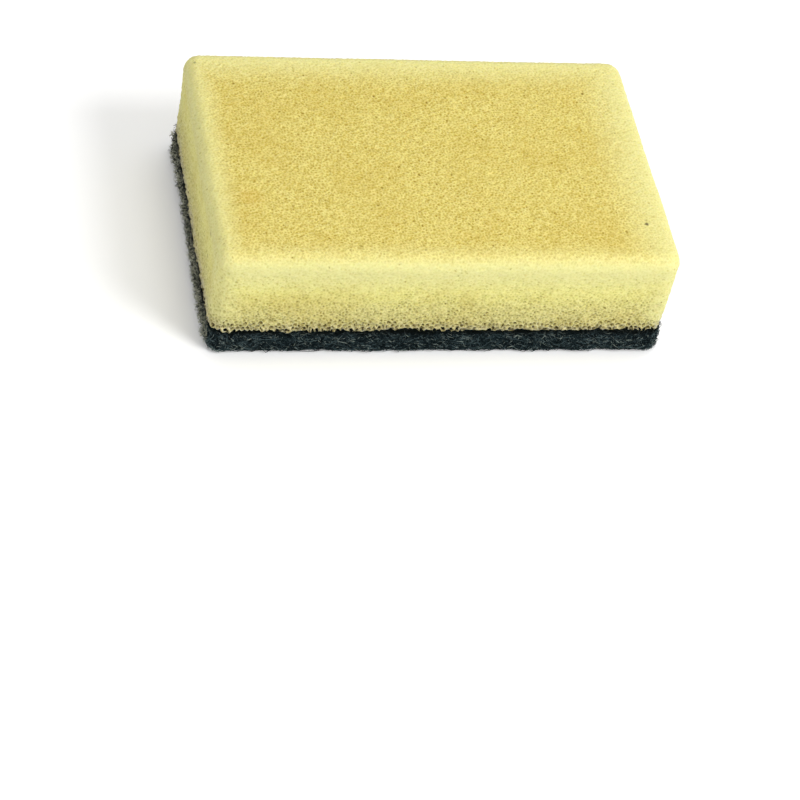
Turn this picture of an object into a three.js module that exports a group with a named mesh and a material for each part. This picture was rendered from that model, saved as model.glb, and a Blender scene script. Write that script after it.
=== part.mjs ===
// Dish sponge: a block of open-cell foam with a non-woven scouring pad bonded to its underside.
// Both layers are cut through together by one press knife, so they share one outline.
// Millimetres. +X runs along the length, +Y from front to back and +Z up. The origin is the
// middle of the pad's underside, on the surface that the sponge rests on.

import * as THREE from 'three';

// Outline that the press knife cuts
const cutLength = 90;
const cutWidth = 60;
const cornerRadius = 3.4; // upright corners, seen from above

// Foam layer
const foamThickness = 18.5;
const topEdgeRadius = 2.8; // the soft edge around the top face
const bondInset = 0.3; // how far the foam is drawn in where it is bonded to the pad
const bondTuckHeight = 5; // height over which it springs back to the full outline
const waistDepth = 0.2; // the cut walls are slightly hollow, because foam is cut while squashed
const wallWander = 0.3; // how far the cut walls wander in from a straight line
const wallWanderPitch = 13; // length of one such wander along the outline

// Scouring pad
const padThickness = 6;
const padSetback = 0.3; // the stiff pad is cut true, and the foam springs back out past it
const padTopEdgeRadius = 0.5; // at the bond
const padBottomEdgeRadius = 1.3; // worn rounder where the pad scrubs
const frayDepth = 0.75; // deepest notch between the tufts of fibre along the cut edge
const tuftPitch = 2.6; // width of one tuft along the cut edge

// Fineness of the facets
const cornerFacets = 6;
const foamFacetWidth = 3.5;
const padFacetWidth = tuftPitch / 2;
const foamWallBands = 8;
const padWallBands = 4;
const topEdgeSteps = 5;
const padEdgeSteps = 2;

// A repeatable number from 0 to 1 for two whole numbers.
function scatter(i, j) {
  const wave = Math.sin(i * 127.1 + j * 311.7) * 43758.5453;
  return wave - Math.floor(wave);
}

function smoothStep(t) {
  const s = Math.min(Math.max(t, 0), 1);
  return s * s * (3 - 2 * s);
}

// Smooth bumps from 0 to 1 around a closed outline, where share is how far round the point lies.
function bumps(share, count, row) {
  const place = share * count;
  const before = Math.floor(place);
  const blend = smoothStep(place - before);
  const low = scatter(before % count, row);
  const high = scatter((before + 1) % count, row);
  return low + (high - low) * blend;
}

// The knife's outline: a rounded rectangle as points in order, each with its outward direction
// and its distance along the outline. It starts where the right-hand side meets the back corner.
function knifeOutline(facetWidth) {
  const radius = Math.min(cornerRadius, cutLength / 2, cutWidth / 2);
  const straights = [cutLength - 2 * radius, cutWidth - 2 * radius];
  const points = [];
  let along = 0;
  for (let corner = 0; corner < 4; corner++) {
    const middle = new THREE.Vector2(cutLength / 2 - radius, cutWidth / 2 - radius);
    if (corner === 1 || corner === 2) middle.x = -middle.x;
    if (corner >= 2) middle.y = -middle.y;
    const addPoint = (angle, slide) => {
      const outward = new THREE.Vector2(Math.cos(angle), Math.sin(angle));
      const place = middle.clone().addScaledVector(outward, radius);
      place.x -= outward.y * slide;
      place.y += outward.x * slide;
      points.push({ place, outward, along: along + slide });
    };
    for (let i = 0; i < cornerFacets; i++) {
      addPoint((Math.PI / 2) * (corner + i / cornerFacets), 0);
      along += ((Math.PI / 2) * radius) / cornerFacets;
    }
    const straight = straights[corner % 2];
    const steps = Math.ceil(straight / facetWidth);
    for (let i = 0; i < steps; i++) {
      addPoint((Math.PI / 2) * (corner + 1), (straight * i) / steps);
    }
    along += straight;
  }
  for (const point of points) point.share = point.along / along;
  return { points, length: along };
}

// A closed solid through a stack of levels from bottom to top, flat at both ends. Each level has
// a height z and a function inset(share) for how far the wall lies inside the knife's outline.
function loft(outline, levels) {
  const positions = [];
  for (const level of levels) {
    for (const point of outline.points) {
      const inset = level.inset(point.share);
      positions.push(point.place.x - point.outward.x * inset);
      positions.push(point.place.y - point.outward.y * inset);
      positions.push(level.z);
    }
  }
  const count = outline.points.length;
  const indices = [];
  for (let k = 0; k < levels.length - 1; k++) {
    for (let i = 0; i < count; i++) {
      const next = (i + 1) % count;
      const a = k * count + i;
      const b = k * count + next;
      const c = a + count;
      const d = b + count;
      indices.push(a, b, d, a, d, c);
    }
  }
  const bottomMiddle = positions.length / 3;
  positions.push(0, 0, levels[0].z);
  positions.push(0, 0, levels[levels.length - 1].z);
  const topMiddle = bottomMiddle + 1;
  const topStart = (levels.length - 1) * count;
  for (let i = 0; i < count; i++) {
    const next = (i + 1) % count;
    indices.push(bottomMiddle, next, i);
    indices.push(topMiddle, topStart + i, topStart + next);
  }
  const geometry = new THREE.BufferGeometry();
  geometry.setAttribute('position', new THREE.Float32BufferAttribute(positions, 3));
  geometry.setIndex(indices);
  geometry.computeVertexNormals();
  return geometry;
}

// Foam: tucked in at the bond, full at the foot of the top edge, hollow between, and rolled over
// into the flat top face.
function foamLevels(outline) {
  const edge = Math.min(topEdgeRadius, 0.85 * cornerRadius, 0.4 * foamThickness);
  const wallHeight = foamThickness - edge;
  const wanders = Math.round(outline.length / wallWanderPitch);
  const levels = [];
  for (let k = 0; k <= foamWallBands; k++) {
    const height = (wallHeight * k) / foamWallBands;
    const tuck = bondInset * (1 - smoothStep(height / bondTuckHeight));
    const waist = waistDepth * Math.sin((Math.PI * height) / wallHeight);
    const drift = (height / wallHeight) * 2;
    const row = Math.floor(drift);
    const blend = smoothStep(drift - row);
    levels.push({
      z: height,
      inset: (share) => {
        const low = bumps(share, wanders, row);
        const high = bumps(share, wanders, row + 1);
        return tuck + waist + wallWander * (low + (high - low) * blend);
      },
    });
  }
  const topOfWall = levels[levels.length - 1].inset;
  for (let k = 1; k <= topEdgeSteps; k++) {
    const angle = ((Math.PI / 2) * k) / topEdgeSteps;
    levels.push({
      z: wallHeight + edge * Math.sin(angle),
      inset: (share) => topOfWall(share) * Math.cos(angle) + edge * (1 - Math.cos(angle)),
    });
  }
  return levels;
}

// Pad: a flat web of fibre with soft edges, frayed all the way round by the cut. The tufts lie
// differently at each level, so the wall is torn in height as well as in length.
function padLevels(outline) {
  const bottomEdge = Math.min(padBottomEdgeRadius, 0.4 * padThickness);
  const topEdge = Math.min(padTopEdgeRadius, 0.4 * padThickness);
  const tufts = Math.round(outline.length / tuftPitch);
  const frayAt = (row, extra) => (share) =>
    padSetback + extra + frayDepth * bumps(share, tufts, row) ** 2;
  const levels = [];
  for (let k = 0; k < padEdgeSteps; k++) {
    const angle = ((Math.PI / 2) * k) / padEdgeSteps;
    const height = bottomEdge * (1 - Math.cos(angle));
    levels.push({ z: height, inset: frayAt(0, bottomEdge * (1 - Math.sin(angle))) });
  }
  const wallHeight = padThickness - bottomEdge - topEdge;
  for (let k = 0; k <= padWallBands; k++) {
    levels.push({ z: bottomEdge + (wallHeight * k) / padWallBands, inset: frayAt(k, 0) });
  }
  levels.push({ z: padThickness, inset: frayAt(padWallBands, topEdge) });
  return levels;
}

function foamBlock() {
  const material = new THREE.MeshStandardMaterial({
    color: new THREE.Color(0.88, 0.8, 0.42),
    roughness: 0.95,
    metalness: 0,
  });
  const outline = knifeOutline(foamFacetWidth);
  const mesh = new THREE.Mesh(loft(outline, foamLevels(outline)), material);
  mesh.name = 'foam_block';
  mesh.position.z = padThickness; // bonded face to face on the pad's top
  return mesh;
}

function scouringPad() {
  const material = new THREE.MeshStandardMaterial({
    color: new THREE.Color(0.1, 0.13, 0.11),
    roughness: 0.9,
    metalness: 0,
  });
  const outline = knifeOutline(padFacetWidth);
  const mesh = new THREE.Mesh(loft(outline, padLevels(outline)), material);
  mesh.name = 'scouring_pad';
  return mesh;
}

const dishSponge = new THREE.Group();
dishSponge.name = 'dish_sponge';
dishSponge.add(scouringPad(), foamBlock());

export default dishSponge;
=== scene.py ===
# Dish sponge: the looks of the pitted foam block and of the matted fibre pad bonded under it.
# Metres, in the part's own frame: +X along the length, +Y from front to back, +Z up. The origin
# is the middle of the pad's underside, on the surface that the sponge rests on.

import math
import random

import bpy
from mathutils import Matrix, Vector, geometry, noise


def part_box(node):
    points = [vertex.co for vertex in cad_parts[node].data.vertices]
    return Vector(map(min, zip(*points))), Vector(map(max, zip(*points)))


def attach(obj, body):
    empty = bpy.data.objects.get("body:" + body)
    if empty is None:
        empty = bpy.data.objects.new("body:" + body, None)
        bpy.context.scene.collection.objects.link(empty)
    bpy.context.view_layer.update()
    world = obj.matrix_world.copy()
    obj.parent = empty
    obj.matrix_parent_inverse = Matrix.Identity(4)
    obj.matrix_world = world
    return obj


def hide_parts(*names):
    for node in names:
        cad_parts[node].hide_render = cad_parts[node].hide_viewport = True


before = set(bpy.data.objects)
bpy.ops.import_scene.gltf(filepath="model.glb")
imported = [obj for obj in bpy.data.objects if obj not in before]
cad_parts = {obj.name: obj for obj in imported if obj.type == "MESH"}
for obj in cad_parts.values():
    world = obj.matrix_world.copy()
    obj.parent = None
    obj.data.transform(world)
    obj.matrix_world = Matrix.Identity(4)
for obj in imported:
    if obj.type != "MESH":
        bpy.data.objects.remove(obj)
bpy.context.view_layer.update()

MM = 0.001
QUARTER_TURN = math.pi / 2

# Outline that the press knife cuts
CUT_LENGTH = 90 * MM
CUT_WIDTH = 60 * MM
CORNER_RADIUS = 3.4 * MM

# Levels
PAD_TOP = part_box("scouring_pad")[1].z
FOAM_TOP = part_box("foam_block")[1].z

# Foam layer
TOP_EDGE_RADIUS = 2.8 * MM
BOND_INSET = 0.3 * MM
BOND_TUCK_HEIGHT = 5 * MM
WAIST_DEPTH = 0.2 * MM
WALL_WANDER = 0.3 * MM
WALL_WANDER_PITCH = 13 * MM
WALL_HEIGHT = FOAM_TOP - PAD_TOP - TOP_EDGE_RADIUS

# Foam cells
CELL_GAP = 0.545 * MM  # least distance between the middles of two cells
TORN_CELL_GAP = 0.78 * MM  # the same at the bond, where cells are torn into one another
RIM_ROUGHNESS = 0.06 * MM  # how unevenly the cut ends of the walls between cells stand
DEEPEST_DIMPLE = 0.3 * MM
LOW_WALL = 13 * MM  # height above the bond below which the dimples grow deeper
TORN_HEIGHT = 4.2 * MM  # height above the bond over which the cells are torn open
LEFT_TORN_HEIGHT = 5.6 * MM  # the same at the left end, which is worn most
LEFT_COARSENESS = 0.6  # how far the left wall's cells have opened towards torn ones
CREST_REACH = 7 * MM  # how far the tight foam of the crest reaches down and inward; the crest's pale colour is painted light, set in the foam material
LIP = 0.6 * MM  # how far the torn lower edge hangs over the pad's rounded edge, on average
LIP_PITCH = 1.3 * MM  # length of one tooth of that torn edge
UNDER_REACH = 1.6 * MM  # how far the cells carry on round the lip and under the foam

# Scouring pad
PAD_SETBACK = 0.3 * MM
FRAY_DEPTH = 0.75 * MM
TUFT_PITCH = 2.6 * MM
FRAY_BANDS = 4  # how many times the tufts change between the pad's lower and upper edge
PAD_TOP_EDGE_RADIUS = 0.5 * MM
PAD_BOTTOM_EDGE_RADIUS = 1.3 * MM
NOTCH_FILL = 0.5  # share of each notch that loose fibres fill, except at the worn left end
CORE_SINK = 0.12 * MM  # how far the dense middle lies under the outermost fibres at the edge
UNDER_SINK = 0.3 * MM  # the same on the underside
CORE_COLUMNS = 560
CORE_UNDER_RINGS = 26
CORE_WALL_RINGS = 13

# Fibres: shares of dark, grey-green, light and pale strands, and the tints of each kind
MOSTLY_DARK = (40, 31, 24, 5)
# More light and pale strands at the left end: painted light on that end
LEFT_LIT_SHARES = (30, 10, 26, 34)
TINT_RANGES = ((0, 0.3), (0.3, 0.6), (0.6, 0.85), (0.85, 1))
LYING_SHARE = 0.6  # share of the edge's fibres that run along it
STRAY_SHARE = 0.03  # share of them that hang loose, and the knife cut the rest through

# Fibres of the pad's sides, in the order of the outline: seed, number, shares of strands, and
# how far the cut ones stick out
EDGE_FIBRES = (
    ("back_fibres", 11, 5800, MOSTLY_DARK, 0.35 * MM),
    ("left_fibres", 12, 3900, LEFT_LIT_SHARES, 1.1 * MM),
    ("front_fibres", 13, 5800, MOSTLY_DARK, 0.35 * MM),
    ("right_fibres", 14, 3900, MOSTLY_DARK, 0.6 * MM),
)
TUFT_SEED = 15
TUFT_FIBRES = 110  # at each corner
UNDERSIDE_SEED = 16
UNDERSIDE_FIBRES = 4600

# Foam colour
STREAK_LENGTH = 1.25 * MM
STREAK_WIDTH = 0.52 * MM
STREAK_TURN = 0.5
STREAK_STRENGTH = 0.6  # how strongly the strands that lean together show as short streaks
NET_SIZE = 0.55 * MM

# Painted light along the top's edges, as if lit through the thin foam, reaching furthest in at the back
# and the right where the light comes from: how far in it reaches, in millimetres, and how strong it is
PAINTED_LIGHT_EDGES = (("front", 6.0, 0.5), ("back", 12.0, 0.9), ("left", 7.0, 0.9), ("right", 14.0, 0.85))

# Camera
SENSOR_WIDTH = 36
LENS = 124.7
CAMERA_PLACE = Vector((-129.4, -388.7, 370.8)) * MM
CAMERA_AIM = Vector((-8.98, -42.0, 0)) * MM
CAMERA_ROLL = math.radians(13.4)

# Light
LIGHT_AIM = Vector((0, 0, 20)) * MM
WORLD_STRENGTH = 0.4
FLOOR_REACH = 3

# Lamps: name, place, width and watts
LAMPS = (
    ("key", Vector((0.5, -0.42, 0.6)), 0.45, 5.4),
    ("top", Vector((0.1, 0.25, 0.9)), 0.6, 2.6),
    ("fill", Vector((-0.5, -0.42, 0.3)), 0.5, 1.0),
)


# The knife's outline

CORNER_ARC = QUARTER_TURN * CORNER_RADIUS
STRAIGHTS = (CUT_LENGTH - 2 * CORNER_RADIUS, CUT_WIDTH - 2 * CORNER_RADIUS)
CORNER_X = STRAIGHTS[0] / 2
CORNER_Y = STRAIGHTS[1] / 2
OUTLINE_LENGTH = 4 * CORNER_ARC + 2 * STRAIGHTS[0] + 2 * STRAIGHTS[1]
CORNER_MIDDLES = (
    Vector((CORNER_X, CORNER_Y)),
    Vector((-CORNER_X, CORNER_Y)),
    Vector((-CORNER_X, -CORNER_Y)),
    Vector((CORNER_X, -CORNER_Y)),
)
CORNER_STARTS = (
    0,
    CORNER_ARC + STRAIGHTS[0],
    2 * CORNER_ARC + STRAIGHTS[0] + STRAIGHTS[1],
    3 * CORNER_ARC + 2 * STRAIGHTS[0] + STRAIGHTS[1],
)


def on_outline(along):
    """Place and outward direction at a distance along the outline, seen from above."""
    along %= OUTLINE_LENGTH
    corner = max(c for c in range(4) if CORNER_STARTS[c] <= along)
    beyond = along - CORNER_STARTS[corner]
    angle = QUARTER_TURN * corner + min(beyond / CORNER_RADIUS, QUARTER_TURN)
    outward = Vector((math.cos(angle), math.sin(angle)))
    slide = max(beyond - CORNER_ARC, 0)
    place = CORNER_MIDDLES[corner] + outward * CORNER_RADIUS
    return place + Vector((-outward.y, outward.x)) * slide, outward


def nearest_along(x, y):
    """Distance along the outline of its point nearest to (x, y)."""
    if abs(x) > CORNER_X and abs(y) > CORNER_Y:
        corner = (0 if x > 0 else 1) if y > 0 else (3 if x > 0 else 2)
        middle = CORNER_MIDDLES[corner]
        turn = math.atan2(y - middle.y, x - middle.x) - QUARTER_TURN * corner
        return CORNER_STARTS[corner] + (turn % (2 * math.pi)) * CORNER_RADIUS
    if CUT_LENGTH / 2 - abs(x) < CUT_WIDTH / 2 - abs(y):
        corner = 3 if x > 0 else 1
        slide = CORNER_Y + (y if x > 0 else -y)
    else:
        corner = 0 if y > 0 else 2
        slide = CORNER_X + (-x if y > 0 else x)
    return CORNER_STARTS[corner] + CORNER_ARC + slide


def depth_inside(x, y):
    """How far (x, y) lies inside the outline."""
    over = Vector((abs(x) - CORNER_X, abs(y) - CORNER_Y))
    beyond = Vector((max(over.x, 0), max(over.y, 0))).length
    return CORNER_RADIUS - beyond - min(max(over.x, over.y), 0)


# Chance wander of the cut

def scatter(i, j):
    """A repeatable number from 0 to 1 for two whole numbers."""
    wave = math.sin(i * 127.1 + j * 311.7) * 43758.5453
    return wave - math.floor(wave)


def smooth_step(t):
    s = min(max(t, 0), 1)
    return s * s * (3 - 2 * s)


def bumps(share, count, row):
    """Smooth bumps from 0 to 1 around the outline, where share is how far round the point is."""
    place = (share % 1) * count
    before = math.floor(place)
    blend = smooth_step(place - before)
    low = scatter(before % count, row)
    high = scatter((before + 1) % count, row)
    return low + (high - low) * blend


# The foam's surface

WANDERS = round(OUTLINE_LENGTH / WALL_WANDER_PITCH)
LIP_TEETH = round(OUTLINE_LENGTH / LIP_PITCH)
LOOP_ANGLE = QUARTER_TURN / 2  # where on the rounded top edge the walls hand over to the top
WALL_TOP = WALL_HEIGHT + TOP_EDGE_RADIUS * LOOP_ANGLE


def foam_inset(share, height):
    """How far the foam's wall lies inside the knife's outline at a height above the bond."""
    tuck = BOND_INSET * (1 - smooth_step(height / BOND_TUCK_HEIGHT))
    waist = WAIST_DEPTH * math.sin(math.pi * height / WALL_HEIGHT)
    drift = height / WALL_HEIGHT * 2
    row = math.floor(drift)
    low = bumps(share, WANDERS, row)
    high = bumps(share, WANDERS, row + 1)
    wander = low + (high - low) * smooth_step(drift - row)
    return tuck + waist + WALL_WANDER * wander


def on_wall(along, climb):
    """Place and outward normal at a distance climbed up the foam's side, from under its edge."""
    edge, outward = on_outline(along)
    share = (along % OUTLINE_LENGTH) / OUTLINE_LENGTH
    if climb < 0:
        under = smooth_step((-climb - LIP) / (UNDER_REACH - LIP))
        inset = foam_inset(share, 0) + under * (UNDER_REACH - LIP)
        tooth = 1.2 * bumps(share, LIP_TEETH, 31) + 0.9 * bumps(share, LIP_TEETH // 4, 32)
        height = max(climb, -LIP) * tooth * (1 - under)
        tilt = -QUARTER_TURN * smooth_step((-climb - LIP / 2) / LIP)
    elif climb <= WALL_HEIGHT:
        inset = foam_inset(share, climb)
        height = climb
        tilt = 0
    else:
        tilt = (climb - WALL_HEIGHT) / TOP_EDGE_RADIUS
        inset = foam_inset(share, WALL_HEIGHT) * math.cos(tilt) + TOP_EDGE_RADIUS * (1 - math.cos(tilt))
        height = WALL_HEIGHT + TOP_EDGE_RADIUS * math.sin(tilt)
    place = edge - outward * inset
    normal = outward.to_3d() * math.cos(tilt) + Vector((0, 0, math.sin(tilt)))
    return Vector((place.x, place.y, PAD_TOP + height)), normal


def on_top(x, y):
    """Place and outward normal of the foam's top over (x, y), its rounded edge included."""
    along = nearest_along(x, y)
    wander = foam_inset(along / OUTLINE_LENGTH, WALL_HEIGHT)
    lean = (TOP_EDGE_RADIUS - depth_inside(x, y)) / (TOP_EDGE_RADIUS - wander)
    lean = min(max(lean, 0), 1)
    rise = math.sqrt(1 - lean * lean)
    outward = on_outline(along)[1]
    return (
        Vector((x, y, PAD_TOP + WALL_HEIGHT + TOP_EDGE_RADIUS * rise)),
        outward.to_3d() * lean + Vector((0, 0, rise)),
    )


# Foam cells

def leftness(x):
    """From 0 away from the left end to 1 on it."""
    return smooth_step(1 - (x + CUT_LENGTH / 2) / (3 * MM))


def openness(place):
    """From 0 for the tight cells of the foam's upper part to 1 for the torn ones at the bond."""
    reach = TORN_HEIGHT + (LEFT_TORN_HEIGHT - TORN_HEIGHT) * leftness(place.x)
    return smooth_step(1 - (place.z - PAD_TOP) / reach)


def lowness(place):
    """From 0 on the upper part of the foam to 1 on the lowest part of its wall."""
    return smooth_step(1 - (place.z - PAD_TOP) / LOW_WALL)


def crest_closeness(place):
    """From 0 well away from the crest round the top to 1 on it."""
    away = FOAM_TOP - place.z + depth_inside(place.x, place.y)
    return 1 - smooth_step(away / CREST_REACH)


def coarseness(place):
    """From 0 for tight cells to 1 for torn ones, with the worn left wall between them."""
    worn = LEFT_COARSENESS * leftness(place.x) * (1 - crest_closeness(place))
    return max(openness(place), worn)


class Spread:
    """Points on the foam that keep their distance from each other."""

    def __init__(self):
        self.places = []
        self.normals = []
        self.buckets = {}

    def bucket(self, place):
        return tuple(math.floor(c / TORN_CELL_GAP) for c in place)

    def is_free(self, place):
        gap = CELL_GAP + (TORN_CELL_GAP - CELL_GAP) * coarseness(place)
        bx, by, bz = self.bucket(place)
        for dx in (-1, 0, 1):
            for dy in (-1, 0, 1):
                for dz in (-1, 0, 1):
                    for other in self.buckets.get((bx + dx, by + dy, bz + dz), ()):
                        if (other - place).length_squared < gap * gap:
                            return False
        return True

    def add(self, place, normal):
        self.places.append(place)
        self.normals.append(normal)
        self.buckets.setdefault(self.bucket(place), []).append(place)
        return len(self.places) - 1


def triangles_of(flat_points, rim_edges):
    """Delaunay triangles of flat points as counter-clockwise triples, inside the rim if given."""
    result = geometry.delaunay_2d_cdt(flat_points, rim_edges, [], 1 if rim_edges else 0, 1e-9)
    found, faces, origins = result[0], result[2], result[3]
    triples = []
    for a, b, c in faces:
        turn = (found[b] - found[a]).cross(found[c] - found[a])
        triple = (origins[a][0], origins[b][0], origins[c][0])
        triples.append(triple if turn > 0 else triple[::-1])
    return triples


def cell_middles(chance):
    """Middles of all foam cells, and the triangles between them."""
    spread = Spread()
    count = round(OUTLINE_LENGTH / (1.25 * CELL_GAP))
    ring = [OUTLINE_LENGTH * i / count for i in range(count)]
    loop = [spread.add(*on_wall(along, WALL_TOP)) for along in ring]
    under = [spread.add(*on_wall(along, -UNDER_REACH)) for along in ring]
    on_walls = {i: (along, WALL_TOP) for i, along in zip(loop, ring)}
    on_walls.update({i: (along, -UNDER_REACH) for i, along in zip(under, ring)})
    on_tops = {i: spread.places[i].xy for i in loop}

    wall_height = WALL_TOP + UNDER_REACH
    tries = round(9 * OUTLINE_LENGTH * wall_height / CELL_GAP**2)
    for _ in range(tries):
        along = chance.uniform(0, OUTLINE_LENGTH)
        climb = chance.uniform(-UNDER_REACH, WALL_TOP)
        place, normal = on_wall(along, climb)
        if spread.is_free(place):
            on_walls[spread.add(place, normal)] = (along, climb)
    least_depth = TOP_EDGE_RADIUS * (1 - math.cos(LOOP_ANGLE)) + WALL_WANDER
    tries = round(9 * CUT_LENGTH * CUT_WIDTH / CELL_GAP**2)
    for _ in range(tries):
        x = chance.uniform(-CUT_LENGTH / 2, CUT_LENGTH / 2)
        y = chance.uniform(-CUT_WIDTH / 2, CUT_WIDTH / 2)
        if depth_inside(x, y) < least_depth:
            continue
        place, normal = on_top(x, y)
        if spread.is_free(place):
            on_tops[spread.add(place, normal)] = Vector((x, y))

    return spread, wall_triangles(on_walls) + top_triangles(on_tops, loop), under


def wall_triangles(on_walls):
    """Triangles of the unrolled wall, which closes on itself at its two ends."""
    overlap = 8 * CELL_GAP
    flat = []
    owners = []
    for point, (along, climb) in on_walls.items():
        for shift in (-OUTLINE_LENGTH, 0, OUTLINE_LENGTH):
            if -overlap <= along + shift <= OUTLINE_LENGTH + overlap:
                flat.append(Vector((along + shift, climb)))
                owners.append(point)
    kept = []
    for triple in triangles_of(flat, []):
        middle = sum(flat[i].x for i in triple) / 3
        if 0 <= middle < OUTLINE_LENGTH:
            kept.append(tuple(owners[i] for i in triple))
    return kept


def top_triangles(on_tops, loop):
    owners = list(on_tops)
    row_of = {point: row for row, point in enumerate(owners)}
    rim = [(row_of[a], row_of[b]) for a, b in zip(loop, loop[1:] + loop[:1])]
    triples = triangles_of([on_tops[p] for p in owners], rim)
    return [tuple(owners[i] for i in triple) for triple in triples]


def rings_of(triangles):
    """For each point, the triangles around it in order, and whether they close into a ring."""
    steps = {}
    for number, (a, b, c) in enumerate(triangles):
        steps.setdefault(a, {})[b] = (c, number)
        steps.setdefault(b, {})[c] = (a, number)
        steps.setdefault(c, {})[a] = (b, number)
    rings = {}
    for point, around in steps.items():
        ends = {step[0] for step in around.values()}
        starts = [p for p in around if p not in ends]
        here = starts[0] if starts else next(iter(around))
        ring = []
        while here in around and len(ring) < len(around):
            here, number = around[here]
            ring.append(number)
        rings[point] = (ring, not starts)
    return rings


class FoamMesh:
    """Vertices with a pore value from 0 on the cut walls to 1 at the bottom of an open cell."""

    def __init__(self):
        self.places = []
        self.pores = []
        self.faces = []

    def point(self, place, pore):
        self.places.append(place)
        self.pores.append(pore)
        return len(self.places) - 1

    def fan(self, corners, middle):
        for a, b in zip(corners, corners[1:] + corners[:1]):
            self.faces.append((a, b, middle))

    def open_cell(self, corners, kept, floor):
        """Funnel from the rim's corners down to a floor that keeps only some of them."""
        count = len(corners)
        for row, start in enumerate(kept):
            end = kept[(row + 1) % len(kept)]
            steps = (end - start) % count or count
            for k in range(steps):
                a = corners[(start + k) % count]
                b = corners[(start + k + 1) % count]
                self.faces.append((a, b, floor[row]))
            self.faces.append((floor[row], corners[end], floor[(row + 1) % len(floor)]))
        for a, b in zip(floor[1:], floor[2:]):
            self.faces.append((floor[0], a, b))


def build_foam():
    chance = random.Random(7)
    spread, triangles, under = cell_middles(chance)
    mesh = FoamMesh()
    rims = []
    hems = {}
    for triple in triangles:
        place = sum((spread.places[i] for i in triple), Vector()) / 3
        normal = sum((spread.normals[i] for i in triple), Vector()).normalized()
        torn = openness(place)
        lift = chance.uniform(-1, 1) * RIM_ROUGHNESS * (1 + 2 * torn)
        drop = chance.uniform(-1, 1) * RIM_ROUGHNESS * 3 * torn
        tone = chance.uniform(0.04, 0.42)
        rims.append(mesh.point(place + normal * lift + Vector((0, 0, drop)), tone))
    for point, (ring, closed) in rings_of(triangles).items():
        corners = [rims[number] for number in ring]
        middle = spread.places[point]
        normal = spread.normals[point]
        if not closed:
            hems[point] = mesh.point(middle, 1)
            for a, b in zip(corners, corners[1:]):
                mesh.faces.append((a, b, hems[point]))
            continue
        wide = openness(middle)
        calm = 1 - 0.5 * crest_closeness(middle)
        torn_share = 0.04 + 0.08 * lowness(middle) + 1.2 * coarseness(middle) ** 2 + 0.4 * wide**2
        if chance.random() > torn_share:
            share = chance.uniform(0.15, 1) * calm
            dip = share * DEEPEST_DIMPLE * (1 + lowness(middle))
            pore = 0.5 + (0.4 + 0.15 * lowness(middle)) * share
            mesh.fan(corners, mesh.point(middle - normal * dip, pore))
            continue
        keep = min(len(corners), chance.choice((3, 4, 4)))
        kept = sorted(chance.sample(range(len(corners)), keep))
        reach = chance.uniform(0.3, 0.5) + 0.33 * wide
        depth = (chance.uniform(0.12, 0.25) + 0.8 * wide * chance.uniform(0.3, 1)) * MM * calm
        floor_pore = chance.uniform(0.75, 1)
        floor = []
        for k in kept:
            towards = mesh.places[corners[k]] - middle
            towards -= normal * towards.dot(normal)
            floor.append(mesh.point(middle + towards * reach - normal * depth, floor_pore))
        mesh.open_cell(corners, kept, floor)
    close_underside(mesh, triangles, [(point, hems[point]) for point in under], rims)
    return mesh


def close_underside(mesh, triangles, hem, rims):
    """Closes the foam on the pad, out of sight, from its last cells and their vertices in order."""
    follower = dict(zip((point for point, _ in hem), hem[1:] + hem[:1]))
    vertex = dict(hem)
    for number, (a, b, c) in enumerate(triangles):
        for p, q in ((a, b), (b, c), (c, a)):
            if p in follower and follower[p][0] == q:
                mesh.faces.append((vertex[p], vertex[q], rims[number]))
    middle = mesh.point(Vector((0, 0, PAD_TOP)), 1)
    mesh.fan([vertex[point] for point, _ in hem][::-1], middle)


# Mesh helpers

def add_mesh(name, places, faces, values=None, value_name="pore"):
    """A smooth-shaded mesh object with an optional value for each vertex."""
    data = bpy.data.meshes.new(name)
    data.from_pydata(places, [], faces)
    if values is not None:
        attribute = data.attributes.new(value_name, "FLOAT", "POINT")
        attribute.data.foreach_set("value", values)
    data.polygons.foreach_set("use_smooth", [True] * len(data.polygons))
    data.update()
    piece = bpy.data.objects.new(name, data)
    bpy.context.scene.collection.objects.link(piece)
    return piece


# The pad

def pad_fray(share, height):
    """How far the tufts leave the pad's edge notched in."""
    tufts = round(OUTLINE_LENGTH / TUFT_PITCH)
    wall_height = PAD_TOP - PAD_TOP_EDGE_RADIUS - PAD_BOTTOM_EDGE_RADIUS
    level = min(max((height - PAD_BOTTOM_EDGE_RADIUS) / wall_height, 0), 1) * FRAY_BANDS
    row = min(math.floor(level), FRAY_BANDS - 1)
    low = bumps(share, tufts, row) ** 2
    high = bumps(share, tufts, row + 1) ** 2
    notch = low + (high - low) * (level - row)
    fill = NOTCH_FILL * (1 - leftness(on_outline(share * OUTLINE_LENGTH)[0].x))
    return PAD_SETBACK + FRAY_DEPTH * (1 - fill) * notch


def pad_edge_inset(share, height):
    """How far the pad's edge lies inside the knife's outline at a height above the floor."""
    inset = pad_fray(share, height)
    if height < PAD_BOTTOM_EDGE_RADIUS:
        drop = 1 - height / PAD_BOTTOM_EDGE_RADIUS
        inset += PAD_BOTTOM_EDGE_RADIUS * (1 - math.sqrt(1 - drop * drop))
    above = height - (PAD_TOP - PAD_TOP_EDGE_RADIUS)
    return inset + max(above, 0)


def lumps(place, size):
    return noise.noise(place / size) + 0.5 * noise.noise(place / (0.45 * size))


def core_point(share, height, shrink):
    """A point of the dense middle, drawn in by a share of the way to the pad's upright axis."""
    edge, outward = on_outline(share * OUTLINE_LENGTH)
    lump = lumps(Vector((edge.x, edge.y, height)), 0.9 * MM)
    inset = pad_edge_inset(share, height) + CORE_SINK - 0.1 * MM * lump
    place = (edge - outward * inset) * (1 - shrink)
    if shrink > 0 and height < PAD_TOP / 2:
        height += 0.14 * MM * lumps(Vector((place.x, place.y, height)), 1.6 * MM)
    return Vector((place.x, place.y, max(height, 0.05 * MM)))


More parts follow.
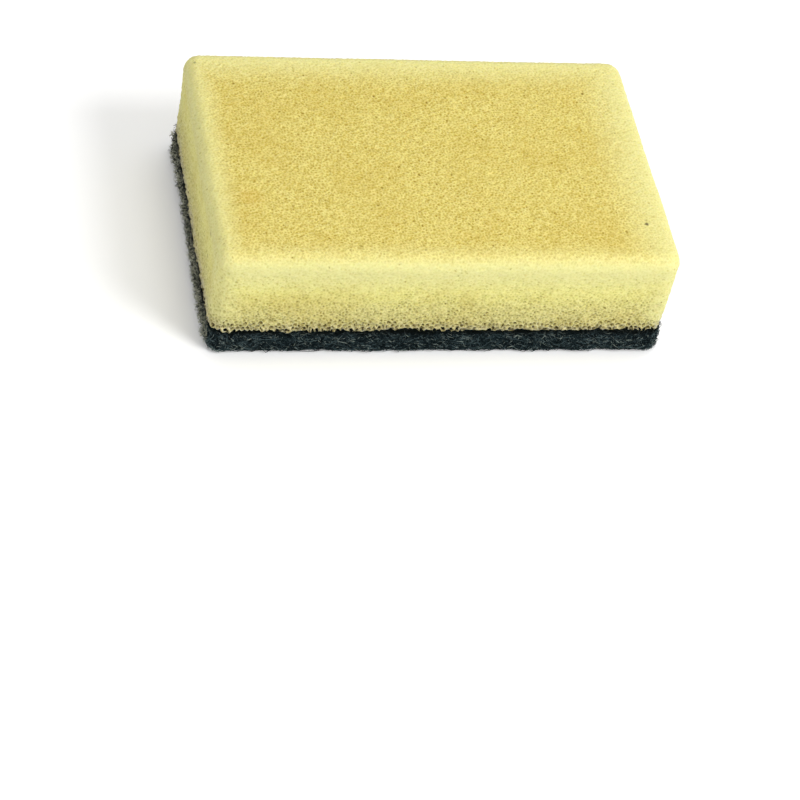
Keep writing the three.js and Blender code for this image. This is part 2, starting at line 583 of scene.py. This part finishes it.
def build_pad_core():
    """The web's dense middle, as rings from under the middle round the edge to the top."""
    columns = CORE_COLUMNS
    wall_height = PAD_TOP - UNDER_SINK
    under = [(UNDER_SINK, k / CORE_UNDER_RINGS) for k in range(CORE_UNDER_RINGS - 1, 0, -1)]
    wall = [(UNDER_SINK + wall_height * k / CORE_WALL_RINGS, 0) for k in range(CORE_WALL_RINGS + 1)]
    over = [(PAD_TOP, 0.04), (PAD_TOP, 0.1)]
    rings = under + wall + over
    places = []
    for height, shrink in rings:
        places += [core_point(i / columns, height, shrink) for i in range(columns)]
    faces = []
    for k in range(len(rings) - 1):
        for i in range(columns):
            a = k * columns + i
            b = k * columns + (i + 1) % columns
            faces.append((a, b, b + columns, a + columns))
    last = (len(rings) - 1) * columns
    faces.append(tuple(range(columns))[::-1])
    faces.append(tuple(range(last, last + columns)))
    return places, faces


class FibreMesh:
    """Many thin three-sided tubes in one mesh, each with its own tint from 0 to 1."""

    def __init__(self):
        self.places = []
        self.faces = []
        self.tints = []

    def add(self, path, radius, tint, tip=0):
        """Adds a strand, whose tint changes towards its far end by the value of tip."""
        start = len(self.places)
        last = len(path) - 1
        for k, place in enumerate(path):
            ahead = (path[min(k + 1, last)] - path[max(k - 1, 0)]).normalized()
            side = ahead.cross(Vector((0.13, 0.21, 0.97))).normalized()
            other = ahead.cross(side)
            thin = radius * (0.55 if k in (0, last) else 1)
            for turn in (0, 1, 2):
                angle = turn * 2 * math.pi / 3
                spoke = side * math.cos(angle) + other * math.sin(angle)
                self.places.append(place + spoke * thin)
                self.tints.append(min(1, tint + tip * k / last))
        for k in range(last):
            a = start + 3 * k
            for turn in (0, 1, 2):
                far = (turn + 1) % 3
                self.faces.append((a + turn, a + far, a + far + 3, a + turn + 3))
        end = start + 3 * last
        self.faces.append((start + 2, start + 1, start))
        self.faces.append((end, end + 1, end + 2))


def edge_point(along, height, out):
    """A point at the pad's edge, so far out from the frayed wall."""
    height = min(max(height, 0.08 * MM), PAD_TOP - 0.1 * MM)
    edge, outward = on_outline(along)
    share = (along % OUTLINE_LENGTH) / OUTLINE_LENGTH
    place = edge - outward * (pad_edge_inset(share, height) - out)
    return Vector((place.x, place.y, height))


def lying_fibre(chance, along):
    """A strand that runs along the cut edge and dives into the web at both ends."""
    height = chance.uniform(0.1, PAD_TOP / MM) * MM
    heading = chance.gauss(0, 0.6) + chance.choice((0, math.pi))
    bend = chance.gauss(0, 0.4)
    step = chance.uniform(0.35, 0.75) * MM
    bulge = chance.uniform(-0.05, 0.16) * MM
    sink = chance.uniform(0.1, 0.35) * MM
    path = []
    for k in range(5):
        out = bulge * math.sin(math.pi * k / 4) - sink * abs(k - 2) / 2
        path.append(edge_point(along, height, out))
        along += step * math.cos(heading)
        height += step * math.sin(heading)
        heading += bend + chance.gauss(0, 0.25)
    return path


def cut_fibre(chance, along, reach):
    """A strand that the knife cut through, which sticks out of the edge."""
    height = chance.uniform(0.1, PAD_TOP / MM) * MM
    drift = chance.gauss(0, 0.28) * MM
    climb = chance.gauss(-0.03, 0.14) * MM
    reach *= chance.uniform(0.05, 1)
    out = -0.45 * MM
    path = []
    for _ in range(5):
        path.append(edge_point(along, height, out))
        out += (reach + 0.45 * MM) / 4
        along += drift
        height += climb
        drift += chance.gauss(0, 0.12) * MM
        climb += chance.gauss(0, 0.08) * MM
    return path


def stray_fibre(chance, along):
    """A long loose strand that has worked its way out of the edge and hangs down."""
    height = chance.uniform(0.6, 5) * MM
    drift = chance.gauss(0, 0.5) * MM
    climb = chance.gauss(-0.2, 0.15) * MM
    out = -0.4 * MM
    path = []
    for k in range(7):
        path.append(edge_point(along, height, out))
        out += chance.uniform(0.1, 0.32) * MM * (1 if k < 4 else -0.5)
        along += drift
        height += climb
        drift += chance.gauss(0, 0.2) * MM
        climb += chance.gauss(0, 0.12) * MM
    return path


def fibre_tint(chance, shares):
    """A tint from the dark, grey-green, light or pale strands, in the given shares."""
    low, high = chance.choices(TINT_RANGES, shares)[0]
    return chance.uniform(low, high)


def build_edge_fibres(seed, start, length, count, shares, reach):
    """Fibres along one side of the pad, where cut strands stick out by up to reach."""
    chance = random.Random(seed)
    mesh = FibreMesh()
    for _ in range(count):
        along = start + chance.uniform(0, length)
        kind = chance.random()
        tip = 0
        if kind < LYING_SHARE:
            path = lying_fibre(chance, along)
        elif kind < 1 - STRAY_SHARE:
            path = cut_fibre(chance, along, reach)
            # Cut strands turn paler towards their tips, the more the further they reach, so most at the
            # left end: partly painted light
            tip = chance.uniform(0, 0.3 + 0.4 * reach / MM)
        else:
            path = stray_fibre(chance, along)
        mesh.add(path, chance.uniform(0.035, 0.075) * MM, fibre_tint(chance, shares), tip)
    return mesh


def build_corner_tufts(seed, count):
    """Pale tufts that scrubbing has pulled out low on the four corners."""
    chance = random.Random(seed)
    mesh = FibreMesh()
    for start in CORNER_STARTS:
        for _ in range(count):
            along = start + CORNER_ARC / 2 + chance.gauss(0, 1.1) * MM
            out = -0.3 * MM
            height = abs(chance.gauss(0.4, 0.7)) * MM
            drift = chance.gauss(0, 0.25) * MM
            path = []
            for _ in range(5):
                path.append(edge_point(along, height, out))
                out += chance.uniform(0.08, 0.3) * MM
                along += drift
                height += chance.gauss(-0.03, 0.1) * MM
                drift += chance.gauss(0, 0.12) * MM
            mesh.add(path, chance.uniform(0.03, 0.06) * MM, chance.uniform(0.6, 1))
    return mesh


def build_underside_fibres(seed, count):
    """Long flat curls that lie on the underside, where the pad scrubs."""
    chance = random.Random(seed)
    mesh = FibreMesh()
    for _ in range(count):
        x = chance.uniform(-CUT_LENGTH / 2, CUT_LENGTH / 2)
        y = chance.uniform(-CUT_WIDTH / 2, CUT_WIDTH / 2)
        heading = chance.uniform(0, 2 * math.pi)
        bend = chance.gauss(0, 0.22)
        step = chance.uniform(0.9, 1.7) * MM
        low = chance.uniform(0.08, 0.2) * MM
        path = []
        for k in range(7):
            x += step * math.cos(heading)
            y += step * math.sin(heading)
            heading += bend + chance.gauss(0, 0.2)
            if depth_inside(x, y) < 1.1 * MM:
                break
            path.append(Vector((x, y, low + 0.3 * MM * (abs(k - 3) / 3) ** 2)))
        if len(path) > 2:
            mesh.add(path, chance.uniform(0.04, 0.075) * MM, fibre_tint(chance, MOSTLY_DARK))
    return mesh


# Node helpers

class Nodes:
    """Short ways to add nodes to one shader tree."""

    def __init__(self, tree):
        self.tree = tree

    def node(self, kind, **settings):
        made = self.tree.nodes.new(kind)
        for key, value in settings.items():
            setattr(made, key, value)
        return made

    def put(self, socket, value):
        """Sets a socket to a plain value, or links another node's output to it."""
        if isinstance(value, bpy.types.NodeSocket):
            self.tree.links.new(value, socket)
        else:
            socket.default_value = value

    def place(self):
        return self.node("ShaderNodeTexCoord").outputs["Object"]

    def streak_place(self, along, across, turn):
        """Coordinates in which a noise of size 1 makes streaks of this length and width."""
        mapping = self.node("ShaderNodeMapping", vector_type="TEXTURE")
        self.put(mapping.inputs["Vector"], self.place())
        mapping.inputs["Rotation"].default_value = (0, 0, turn)
        mapping.inputs["Scale"].default_value = (along, across, across)
        return mapping.outputs["Vector"]

    def math(self, operation, a, b=0.0, c=0.0):
        made = self.node("ShaderNodeMath", operation=operation)
        for socket, value in zip(made.inputs, (a, b, c)):
            self.put(socket, value)
        return made.outputs[0]

    def noise(self, size, detail=2.0, distortion=0.0, place=None, rough=0.5):
        made = self.node("ShaderNodeTexNoise")
        self.put(made.inputs["Vector"], place or self.place())
        made.inputs["Scale"].default_value = 1 / size
        made.inputs["Detail"].default_value = detail
        made.inputs["Roughness"].default_value = rough
        made.inputs["Distortion"].default_value = distortion
        return made.outputs["Fac"]

    def value(self, name):
        return self.node("ShaderNodeAttribute", attribute_name=name).outputs["Fac"]

    def span(self, value, low, high, to_low=0.0, to_high=1.0):
        """Eases a value from one range into another."""
        made = self.node("ShaderNodeMapRange", interpolation_type="SMOOTHSTEP")
        for socket, given in zip(made.inputs, (value, low, high, to_low, to_high)):
            self.put(socket, given)
        return made.outputs[0]

    def mix(self, share, a, b):
        made = self.node("ShaderNodeMix", data_type="RGBA")
        self.put(made.inputs["Factor"], share)
        self.put(made.inputs["A"], a)
        self.put(made.inputs["B"], b)
        return made.outputs["Result"]

    def ramp(self, value, stops):
        made = self.node("ShaderNodeValToRGB")
        self.put(made.inputs[0], value)
        elements = made.color_ramp.elements
        while len(elements) < len(stops):
            elements.new(0.5)
        for element, (position, colour) in zip(elements, stops):
            element.position = position
            element.color = colour
        return made.outputs[0]

    def bump(self, height, strength, distance, below=None):
        made = self.node("ShaderNodeBump")
        made.inputs["Strength"].default_value = strength
        made.inputs["Distance"].default_value = distance
        self.put(made.inputs["Height"], height)
        if below is not None:
            self.put(made.inputs["Normal"], below)
        return made.outputs["Normal"]


class Material(Nodes):
    """A new material with its one surface shader."""

    def __init__(self, name):
        self.material = bpy.data.materials.new(name)
        self.material.use_nodes = True
        super().__init__(self.material.node_tree)
        self.surface = self.tree.nodes["Principled BSDF"]

    def set(self, **inputs):
        for name, value in inputs.items():
            self.put(self.surface.inputs[name.replace("_", " ")], value)


def rgb(red, green, blue):
    return (red, green, blue, 1.0)


# Foam material

# Colours of the cut strands, the body between them, the hollows of the cells and their pits: the
# lighter strands are partly painted highlight, and the darker hollows and pits are painted shade inside
# the cells
TOP_TONES = (
    rgb(0.78, 0.68, 0.22), rgb(0.58, 0.46, 0.10), rgb(0.44, 0.315, 0.045), rgb(0.26, 0.17, 0.024),
)
UPPER_WALL_TONES = (
    rgb(0.86, 0.81, 0.29), rgb(0.76, 0.705, 0.22), rgb(0.60, 0.54, 0.14), rgb(0.29, 0.235, 0.05),
)
LOWER_WALL_TONES = (
    rgb(0.76, 0.70, 0.285), rgb(0.58, 0.525, 0.185), rgb(0.38, 0.32, 0.092), rgb(0.11, 0.085, 0.024),
)
# Lighter tones of the painted light along the edges and corners
EDGE_LIGHT_TONES = (
    rgb(0.80, 0.765, 0.335), rgb(0.755, 0.72, 0.30), rgb(0.68, 0.635, 0.235), rgb(0.46, 0.40, 0.115),
)
# The torn band's near-black hollows and pits are painted shade inside the torn-open cells
TORN_TONES = (
    rgb(0.80, 0.71, 0.37), rgb(0.48, 0.405, 0.17), rgb(0.07, 0.045, 0.013), rgb(0.008, 0.005, 0.002),
)

# Small marks of use, each with its middle, radius, strength and colour
MARKS = (
    ((39.3 * MM, -19.3 * MM, FOAM_TOP), 0.55 * MM, 0.85, rgb(0.06, 0.04, 0.02)),
    ((-43.6 * MM, 26.4 * MM, FOAM_TOP), 0.5 * MM, 0.5, rgb(0.12, 0.14, 0.04)),
    ((-42.9 * MM, 26.0 * MM, FOAM_TOP), 0.5 * MM, 0.6, rgb(0.10, 0.11, 0.04)),
    ((-36.5 * MM, -12.8 * MM, FOAM_TOP), 3.4 * MM, 0.3, rgb(0.60, 0.38, 0.05)),
    ((-44.8 * MM, -18.9 * MM, 20.9 * MM), 0.9 * MM, 0.5, rgb(0.30, 0.19, 0.05)),
    ((-44.8 * MM, -18.7 * MM, 14.9 * MM), 0.7 * MM, 0.5, rgb(0.28, 0.20, 0.05)),
)


def distances(shader):
    """In millimetres: depth below the top, and distances in from the four sides."""
    split = shader.node("ShaderNodeSeparateXYZ")
    shader.put(split.inputs[0], shader.place())
    return {
        "depth": shader.math("MULTIPLY_ADD", split.outputs["Z"], -1 / MM, FOAM_TOP / MM),
        "front": shader.math("MULTIPLY_ADD", split.outputs["Y"], 1 / MM, CUT_WIDTH / MM / 2),
        "back": shader.math("MULTIPLY_ADD", split.outputs["Y"], -1 / MM, CUT_WIDTH / MM / 2),
        "left": shader.math("MULTIPLY_ADD", split.outputs["X"], 1 / MM, CUT_LENGTH / MM / 2),
        "right": shader.math("MULTIPLY_ADD", split.outputs["X"], -1 / MM, CUT_LENGTH / MM / 2),
    }


def finer_net(shader):
    """A finer net of strands that shows inside the cells."""
    net = shader.node("ShaderNodeTexVoronoi", feature="DISTANCE_TO_EDGE")
    shader.put(net.inputs["Vector"], shader.place())
    net.inputs["Scale"].default_value = 1 / NET_SIZE
    return shader.span(net.outputs["Distance"], 0.03, 0.16, 0.3, 0.0)


def leaning_strands(shader):
    """Short streaks where the strands of the foam lean together."""
    place = shader.streak_place(STREAK_LENGTH, STREAK_WIDTH, STREAK_TURN)
    return shader.noise(1, detail=0.3, distortion=0.4, place=place)


def foam_tone(shader, net, streaks):
    """From 0 on bright cut strands to 1 in the pits of the cells: painted highlight on the strands,
    painted shade in the pits.
    """
    lifted = shader.math("MULTIPLY_ADD", streaks, -STREAK_STRENGTH, STREAK_STRENGTH / 2)
    tone = shader.math("SUBTRACT", shader.value("pore"), net)
    return shader.math("ADD", tone, lifted)


def tones(shader, tone, colours):
    return shader.ramp(tone, tuple(zip((0.0, 0.42, 0.8, 1.0), colours)))


def painted_edge_light(shader, inward):
    """Painted light: the foam is painted paler along its edges and up its upright corners, as if lit
    through, and furthest in at the back and the right, where the light comes from.
    """
    on_top = 0.0
    for side, reach, strength in PAINTED_LIGHT_EDGES:
        near = shader.span(inward[side], 0.0, reach, strength, 0.0)
        on_top = shader.math("MAXIMUM", on_top, near)
    start = shader.span(inward["left"], 0.7, 3.0, 1.0, 3.0)
    end = shader.span(inward["left"], 0.7, 3.0, 5.5, 10.5)
    on_wall = shader.span(inward["depth"], start, end, 1.0, 0.0)
    crest = shader.mix(shader.span(inward["depth"], 0.1, 1.8), on_top, on_wall)
    from_sides = shader.math("MINIMUM", inward["front"], inward["back"])
    from_ends = shader.math("MINIMUM", inward["left"], inward["right"])
    upright = shader.span(shader.math("ADD", from_sides, from_ends), 2.0, 8.0, 0.8, 0.0)
    return shader.math("MAXIMUM", crest, upright)


def torn_band(shader, inward):
    """The ragged band just above the bond, where the cells are torn open: widest at the left."""
    bond = (FOAM_TOP - PAD_TOP) / MM
    reach = shader.span(inward["left"], 0.5, 4.0, 4.5, 2.6)
    chance = shader.noise(0.9 * MM)
    ragged = shader.math("ADD", shader.math("MULTIPLY", chance, reach), inward["depth"])
    return shader.span(ragged, bond - 1.8, bond + 1.9)


def mark(shader, colour, middle, radius, strength, tint):
    away = shader.node("ShaderNodeVectorMath", operation="DISTANCE")
    shader.put(away.inputs[0], shader.place())
    away.inputs[1].default_value = middle
    mask = shader.span(away.outputs["Value"], radius * 0.3, radius, strength, 0.0)
    return shader.mix(mask, colour, tint)


def foam_colour(shader, tone):
    inward = distances(shader)
    depth = inward["depth"]
    upper = tones(shader, tone, UPPER_WALL_TONES)
    lower = tones(shader, tone, LOWER_WALL_TONES)
    wall = shader.mix(shader.span(depth, 7.0, 15.5), upper, lower)
    colour = shader.mix(shader.span(depth, 1.0, 4.0), tones(shader, tone, TOP_TONES), wall)
    blotch = shader.noise(9 * MM, detail=2.0)
    colour = shader.mix(shader.span(blotch, 0.4, 0.75, 0.0, 0.22), colour, rgb(0.55, 0.38, 0.05))
    # Painted light along the edges and upright corners
    colour = shader.mix(painted_edge_light(shader, inward), colour, tones(shader, tone, EDGE_LIGHT_TONES))
    colour = shader.mix(torn_band(shader, inward), colour, tones(shader, tone, TORN_TONES))
    for middle, radius, strength, tint in MARKS:
        colour = mark(shader, colour, middle, radius, strength, tint)
    return colour


def foam_material():
    shader = Material("foam")
    net = finer_net(shader)
    streaks = leaning_strands(shader)
    tone = foam_tone(shader, net, streaks)
    relief = shader.bump(streaks, 0.6, 0.2 * MM)
    lines = shader.bump(net, 0.25, 0.1 * MM, below=relief)
    fine = shader.noise(0.2 * MM, detail=3.0)
    shader.set(
        Base_Color=foam_colour(shader, tone),
        Roughness=shader.span(tone, 0.0, 0.6, 0.55, 0.85),
        Specular_IOR_Level=0.3,
        Subsurface_Weight=0.35,
        Subsurface_Radius=(1.0, 0.8, 0.35),
        Subsurface_Scale=2.0 * MM,
        Normal=shader.bump(fine, 0.3, 0.05 * MM, below=lines),
    )
    return shader.material


# Pad materials

# Strands of the pad: dark green-black, with a teal-blue cast that is partly painted reflected light
STRANDS_WITH_BLUE_CAST = (
    (0.0, rgb(0.003, 0.006, 0.007)),
    (0.35, rgb(0.009, 0.018, 0.021)),
    (0.6, rgb(0.038, 0.062, 0.067)),
    (0.82, rgb(0.115, 0.172, 0.182)),
    (1.0, rgb(0.36, 0.42, 0.37)),
)
# Painted light: the fibres at the left end are painted paler and warmer, as if lit from the left.
LEFT_LIT_STRANDS = (
    (0.0, rgb(0.002, 0.003, 0.003)),
    (0.35, rgb(0.010, 0.012, 0.010)),
    (0.6, rgb(0.075, 0.082, 0.064)),
    (0.82, rgb(0.26, 0.275, 0.21)),
    (1.0, rgb(0.65, 0.65, 0.50)),
)


def make_bond_shade():
    """A node group that puts out a mask of the fibre just under the foam, painted near black: partly
    the adhesive-soaked bond line, partly painted shadow under the foam's overhang.
    """
    group = bpy.data.node_groups.new("bond shade", "ShaderNodeTree")
    group.interface.new_socket("Mask", in_out="OUTPUT", socket_type="NodeSocketFloat")
    inside = Nodes(group)
    split = inside.node("ShaderNodeSeparateXYZ")
    inside.put(split.inputs[0], inside.place())
    ragged = inside.math("MULTIPLY_ADD", inside.noise(1.2 * MM), 1.2 * MM, split.outputs["Z"])
    mask = inside.span(ragged, PAD_TOP - 1.1 * MM, PAD_TOP + 0.4 * MM, 0.0, 0.9)
    inside.put(inside.node("NodeGroupOutput").inputs["Mask"], mask)
    return group


def shaded_at_bond(shader, bond_shade, colour):
    made = shader.node("ShaderNodeGroup", node_tree=bond_shade)
    # Near black at the bond: adhesive, and painted shadow under the foam
    return shader.mix(made.outputs["Mask"], colour, rgb(0.003, 0.004, 0.003))


def fibre_material(name, bond_shade, strands):
    shader = Material(name)
    strand = shader.ramp(shader.value("tint"), strands)
    grit = shader.noise(0.35 * MM, detail=3.0)
    drift = shader.noise(6 * MM, detail=2.0)
    colour = shader.mix(shader.span(grit, 0.45, 0.75, 0.0, 0.5), strand, rgb(0.006, 0.010, 0.011))
    colour = shader.mix(shader.span(drift, 0.4, 0.7, 0.0, 0.25), colour, rgb(0.015, 0.035, 0.04))
    shader.set(
        Base_Color=shaded_at_bond(shader, bond_shade, colour),
        Roughness=shader.span(grit, 0.3, 0.7, 0.55, 0.85),
        Specular_IOR_Level=0.04,
        Normal=shader.bump(grit, 0.6, 0.05 * MM),
    )
    return shader.material


def core_material(bond_shade):
    shader = Material("scouring pad core")
    mat = shader.noise(0.4 * MM, detail=4.0, distortion=1.5, rough=0.65)
    patch = shader.noise(4 * MM, detail=3.0)
    colour = shader.ramp(mat, (
        (0.35, rgb(0.002, 0.004, 0.004)),
        (0.6, rgb(0.009, 0.016, 0.018)),
        (0.8, rgb(0.045, 0.065, 0.065)),
    ))
    colour = shader.mix(shader.span(patch, 0.4, 0.7, 0.0, 0.4), colour, rgb(0.007, 0.016, 0.019))
    shader.set(
        Base_Color=shaded_at_bond(shader, bond_shade, colour),
        Roughness=shader.span(mat, 0.3, 0.7, 0.95, 0.75),
        Specular_IOR_Level=0.02,
        Normal=shader.bump(mat, 0.9, 0.3 * MM),
    )
    return shader.material


# Pieces

def make_foam():
    mesh = build_foam()
    piece = add_mesh("foam_cells", mesh.places, mesh.faces, mesh.pores)
    piece.data.materials.append(foam_material())
    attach(piece, "root")
    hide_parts("foam_block")


def make_pad():
    bond_shade = make_bond_shade()
    places, faces = build_pad_core()
    core = add_mesh("pad_core", places, faces)
    core.data.materials.append(core_material(bond_shade))
    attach(core, "root")
    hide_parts("scouring_pad")

    clean = fibre_material("scouring fibre", bond_shade, STRANDS_WITH_BLUE_CAST)
    # The left end's fibres take the material with painted light
    left_lit = fibre_material("dusty scouring fibre", bond_shade, LEFT_LIT_STRANDS)
    meshes = {}
    for corner, (name, seed, count, shares, reach) in enumerate(EDGE_FIBRES):
        length = CORNER_ARC + STRAIGHTS[corner % 2]
        start = CORNER_STARTS[corner]
        meshes[name] = build_edge_fibres(seed, start, length, count, shares, reach)
    meshes["corner_tufts"] = build_corner_tufts(TUFT_SEED, TUFT_FIBRES)
    meshes["underside_fibres"] = build_underside_fibres(UNDERSIDE_SEED, UNDERSIDE_FIBRES)
    for name, mesh in meshes.items():
        piece = add_mesh(name, mesh.places, mesh.faces, mesh.tints, "tint")
        piece.data.materials.append(left_lit if name == "left_fibres" else clean)
        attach(piece, "root")


# Camera, light and floor

def make_camera():
    data = bpy.data.cameras.new("camera")
    data.sensor_width = SENSOR_WIDTH
    data.lens = LENS
    camera = bpy.data.objects.new("camera", data)
    upright = (CAMERA_AIM - CAMERA_PLACE).to_track_quat("-Z", "Y").to_matrix()
    turn = (upright @ Matrix.Rotation(CAMERA_ROLL, 3, "Z")).to_quaternion()
    camera.matrix_world = Matrix.LocRotScale(CAMERA_PLACE, turn, None)
    bpy.context.scene.collection.objects.link(camera)
    bpy.context.scene.camera = camera


def add_light(name, place, width, watts):
    """A round lamp that faces the sponge."""
    data = bpy.data.lights.new(name, "AREA")
    data.shape = "DISK"
    data.size = width
    data.energy = watts
    light = bpy.data.objects.new(name, data)
    turn = (LIGHT_AIM - place).to_track_quat("-Z", "Y")
    light.matrix_world = Matrix.LocRotScale(place, turn, None)
    bpy.context.scene.collection.objects.link(light)


def make_floor():
    sides = ((-1, -1), (1, -1), (1, 1), (-1, 1))
    corners = [(x * FLOOR_REACH, y * FLOOR_REACH, 0) for x, y in sides]
    floor = add_mesh("floor", corners, [(0, 1, 2, 3)])
    shader = Material("floor")
    seen = shader.node("ShaderNodeLightPath").outputs["Is Camera Ray"]
    shader.set(
        Base_Color=shader.mix(seen, rgb(0.8, 0.8, 0.8), rgb(1, 1, 1)),
        Emission_Color=rgb(1, 1, 1),
        Emission_Strength=shader.math("MULTIPLY", seen, 0.1),
        Roughness=0.9,
    )
    floor.data.materials.append(shader.material)


def make_light():
    for name, place, width, watts in LAMPS:
        add_light(name, place, width, watts)
    world = bpy.data.worlds.new("world")
    world.use_nodes = True
    background = world.node_tree.nodes["Background"]
    background.inputs["Color"].default_value = rgb(1, 1, 1)
    background.inputs["Strength"].default_value = WORLD_STRENGTH
    bpy.context.scene.world = world
    bpy.context.scene.view_settings.view_transform = "Standard"


make_camera()
make_foam()
make_pad()
make_floor()
make_light()
